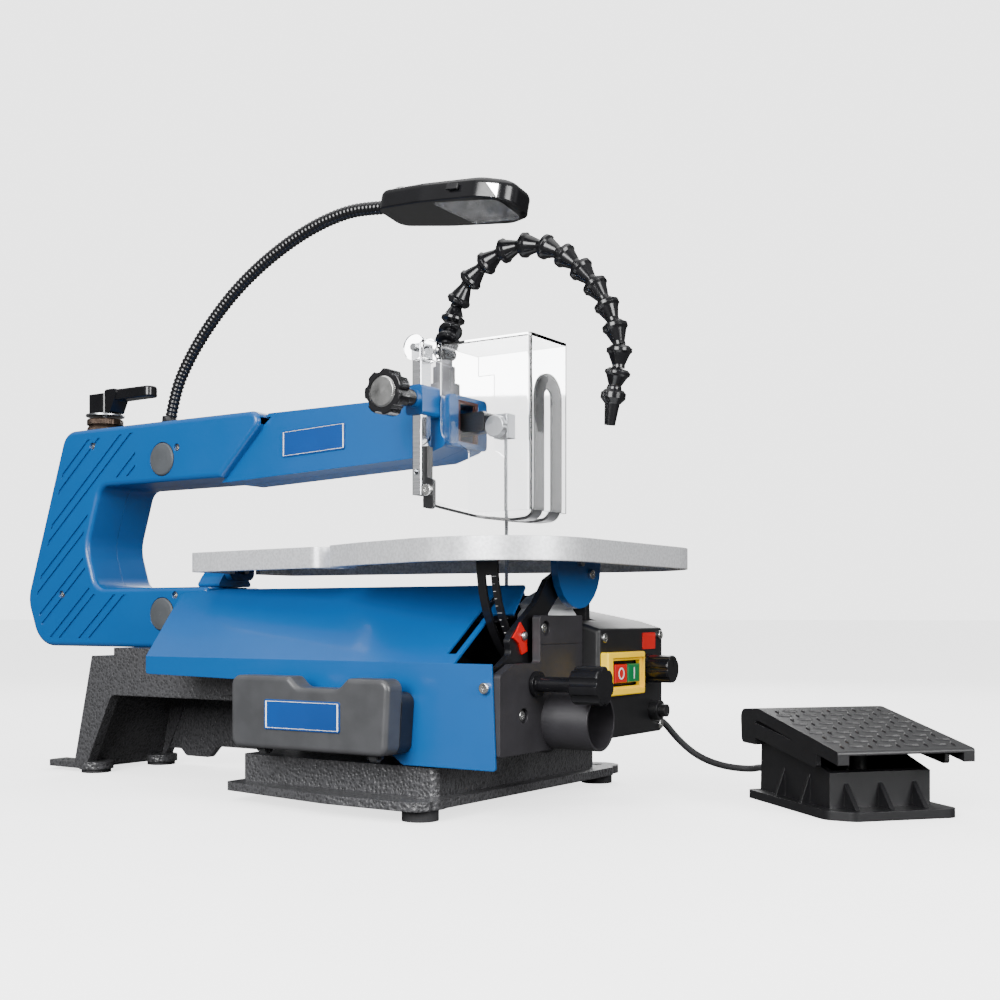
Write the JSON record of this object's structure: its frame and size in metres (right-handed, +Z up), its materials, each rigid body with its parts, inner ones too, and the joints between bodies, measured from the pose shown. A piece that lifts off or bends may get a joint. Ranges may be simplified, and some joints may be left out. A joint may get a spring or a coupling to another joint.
{
  "type": "scroll saw",
  "caption": "bench scroll saw with a C-shaped arm housing, tilting table, clear blade guard, jointed blower hose, gooseneck lamp, tool case and foot switch",
  "frame": {"origin": "bench level, midway between the two front bench bolts", "axes": "X from the column to the operator, Y to the motor side, Z up"},
  "size_m": [0.7866, 0.3163, 0.4494],
  "materials": {
    "cast_base": "hammered dark grey enamel",
    "blue_paint": "glossy blue enamel",
    "rubber": "matt black rubber",
    "grey_cap": "grey moulded plastic",
    "steel": "turned or ground steel",
    "bronze": "sintered bronze",
    "knurled": "browned knurled steel",
    "clamp_metal": "cast alloy",
    "motor_paint": "black enamel",
    "black_plastic": "textured black plastic",
    "badge": "plain printed plate",
    "yellow": "glossy yellow plastic",
    "red": "glossy red plastic",
    "green": "glossy green plastic",
    "screws": "zinc plated",
    "pale_plastic": "pale grey plastic",
    "table": "ground cast aluminium",
    "insert": "pressed aluminium",
    "chrome": "bright plated",
    "clear": "clear acrylic"
  },
  "bodies": {
    "frame": {"base_casting": "cast_base", "rubber_feet": "rubber", "housing_left": "blue_paint", "housing_right": "blue_paint", "pivot_caps": "grey_cap", "pivot_pins": "steel", "arm_badge": "badge", "arm_front_cover": "blue_paint", "window_bellows": "rubber", "tension_collar": "knurled", "motor_case": "motor_paint", "motor_plate": "steel", "side_panel_left": "blue_paint", "side_panel_right": "blue_paint", "front_plate": "black_plastic", "dust_port": "black_plastic", "control_box": "black_plastic", "switch_frame": "yellow", "switch_body": "black_plastic", "cover_screws": "screws", "air_supply": "pale_plastic", "trunnion_bracket": "motor_paint", "rear_support": "blue_paint", "head_bracket": "blue_paint", "storage_tray": "black_plastic", "pedal_base": "black_plastic", "pedal_cord": "black_plastic"},
    "upper_arm_body": {"upper_arm": "steel", "upper_bush": "bronze"},
    "lower_arm_body": {"lower_arm": "steel", "lower_bush": "bronze", "connecting_rod": "steel"},
    "blade_unit": {"saw_blade": "steel", "blade_clamps": "clamp_metal"},
    "upper_screw": {"upper_clamp_screw": "clamp_metal"},
    "lower_screw": {"lower_clamp_screw": "clamp_metal"},
    "rear_link": {"tension_rod": "steel"},
    "lever": {"tension_lever": "black_plastic"},
    "rotor": {"motor_rotor": "steel", "cooling_fan": "black_plastic", "crank_disc": "steel"},
    "table": {"table_top": "table", "table_insert": "insert", "table_trunnions": "blue_paint"},
    "tilt_lock": {"tilt_lock_handle": "black_plastic"},
    "post": {"hold_down_post": "chrome", "hold_down_foot": "motor_paint"},
    "post_clamp": {"post_knob": "black_plastic"},
    "guard": {"guard_shield": "clear"},
    "hose": {"air_hose": "black_plastic"},
    "nozzle": {"air_nozzle": "black_plastic"},
    "lamp_arm": {"lamp_neck": "black_plastic"},
    "lamp": {"lamp_head": "black_plastic"},
    "lamp_button": {"lamp_switch": "black_plastic"},
    "stop": {"stop_button": "red"},
    "start": {"start_button": "green"},
    "speed": {"speed_knob": "black_plastic"},
    "reset": {"reset_button": "black_plastic"},
    "case_lid": {"storage_lid": "black_plastic"},
    "pedal_top": {"treadle": "black_plastic"}
  },
  "joints": [
    {"name": "upper_arm_rock", "type": "hinge", "parent": "frame", "child": "upper_arm_body", "pos_m": [-0.318, -0.01, 0.2595], "axis": [0, -1, 0], "range_deg": [-1.1, 1.1]},
    {"name": "lower_arm_rock", "type": "hinge", "parent": "frame", "child": "lower_arm_body", "pos_m": [-0.318, -0.01, 0.1325], "axis": [0, -1, 0], "range_deg": [-1.1, 1.1]},
    {"name": "blade_stroke", "type": "slide", "parent": "frame", "child": "blade_unit", "axis": [0, 0, 1], "range_m": [-0.0062, 0.0062]},
    {"name": "rear_link_stroke", "type": "slide", "parent": "frame", "child": "rear_link", "axis": [0, 0, 1], "range_m": [-0.0022, 0.0022]},
    {"name": "tension_lever_turn", "type": "hinge", "parent": "rear_link", "child": "lever", "pos_m": [-0.424, -0.01, 0.308], "axis": [0, 0, 1], "range_deg": [-60, 60]},
    {"name": "motor_spin", "type": "hinge", "parent": "frame", "child": "rotor", "pos_m": [-0.063, -0.01, 0.084], "axis": [0, 1, 0], "continuous": true},
    {"name": "table_tilt", "type": "hinge", "parent": "frame", "child": "table", "pos_m": [-0.003, -0.01, 0.168], "axis": [1, 0, 0], "range_deg": [0, 20]},
    {"name": "tilt_lock_turn", "type": "hinge", "parent": "frame", "child": "tilt_lock", "pos_m": [0.09, -0.072, 0.087], "axis": [1, 0, 0], "range_deg": [-90, 90]},
    {"name": "hold_down_slide", "type": "slide", "parent": "frame", "child": "post", "axis": [0, 0, 1], "range_m": [-0.014, 0.014]},
    {"name": "guard_lift", "type": "hinge", "parent": "post", "child": "guard", "pos_m": [-0.049, -0.049, 0.319], "axis": [0, -1, 0], "range_deg": [0, 55]},
    {"name": "post_knob_turn", "type": "hinge", "parent": "frame", "child": "post_clamp", "pos_m": [-0.049, -0.07, 0.283], "axis": [0, -1, 0], "range_deg": [-120, 120]},
    {"name": "air_hose_swing", "type": "hinge", "parent": "frame", "child": "hose", "pos_m": [-0.067, 0.004, 0.322], "axis": [0, 0, 1], "range_deg": [0, 40]},
    {"name": "air_nozzle_tilt", "type": "hinge", "parent": "hose", "child": "nozzle", "pos_m": [0.064, 0.026, 0.291], "axis": [0, 1, 0], "range_deg": [-20, 20]},
    {"name": "lamp_swivel", "type": "hinge", "parent": "frame", "child": "lamp_arm", "pos_m": [-0.343, -0.01, 0.291], "axis": [0, 0, 1], "range_deg": [-60, 0]},
    {"name": "lamp_tilt", "type": "hinge", "parent": "lamp_arm", "child": "lamp", "pos_m": [-0.1025, -0.01, 0.4382], "axis": [0, 1, 0], "range_deg": [-12, 6]},
    {"name": "lamp_switch_slide", "type": "slide", "parent": "lamp", "child": "lamp_button", "axis": [0.9945, 0, -0.1045], "range_m": [0, 0.004]},
    {"name": "stop_press", "type": "slide", "parent": "frame", "child": "stop", "axis": [-1, 0, 0], "range_m": [0, 0.002], "stiffness_N_per_m": 800},
    {"name": "start_press", "type": "slide", "parent": "frame", "child": "start", "axis": [-1, 0, 0], "range_m": [0, 0.002], "stiffness_N_per_m": 800},
    {"name": "speed_knob_turn", "type": "hinge", "parent": "frame", "child": "speed", "pos_m": [0.076, 0.0595, 0.093], "axis": [1, 0, 0], "range_deg": [-135, 135]},
    {"name": "reset_press", "type": "slide", "parent": "frame", "child": "reset", "axis": [-1, 0, 0], "range_m": [0, 0.003], "stiffness_N_per_m": 500},
    {"name": "case_lid_fold", "type": "hinge", "parent": "frame", "child": "case_lid", "pos_m": [-0.075, -0.1292, 0.04], "axis": [1, 0, 0], "range_deg": [0, 60]},
    {"name": "upper_clamp_screw_turn", "type": "hinge", "parent": "blade_unit", "child": "upper_screw", "pos_m": [-0.004, -0.018, 0.2645], "axis": [0, -1, 0], "range_deg": [-180, 180]},
    {"name": "lower_clamp_screw_turn", "type": "hinge", "parent": "blade_unit", "child": "lower_screw", "pos_m": [-0.004, -0.018, 0.1345], "axis": [0, -1, 0], "range_deg": [-180, 180]},
    {"name": "treadle_press", "type": "hinge", "parent": "frame", "child": "pedal_top", "pos_m": [0.17414, 0.12405, 0.046], "axis": [0.6691, 0.7431, 0], "range_deg": [0, 1.6], "stiffness_Nm_per_rad": 40}
  ],
  "couplings": [
    {"joint": "lower_arm_rock", "follows": "upper_arm_rock", "ratio": 1},
    {"joint": "blade_stroke", "follows": "upper_arm_rock", "m_per_rad": 0.314},
    {"joint": "rear_link_stroke", "follows": "upper_arm_rock", "m_per_rad": -0.106}
  ]
}
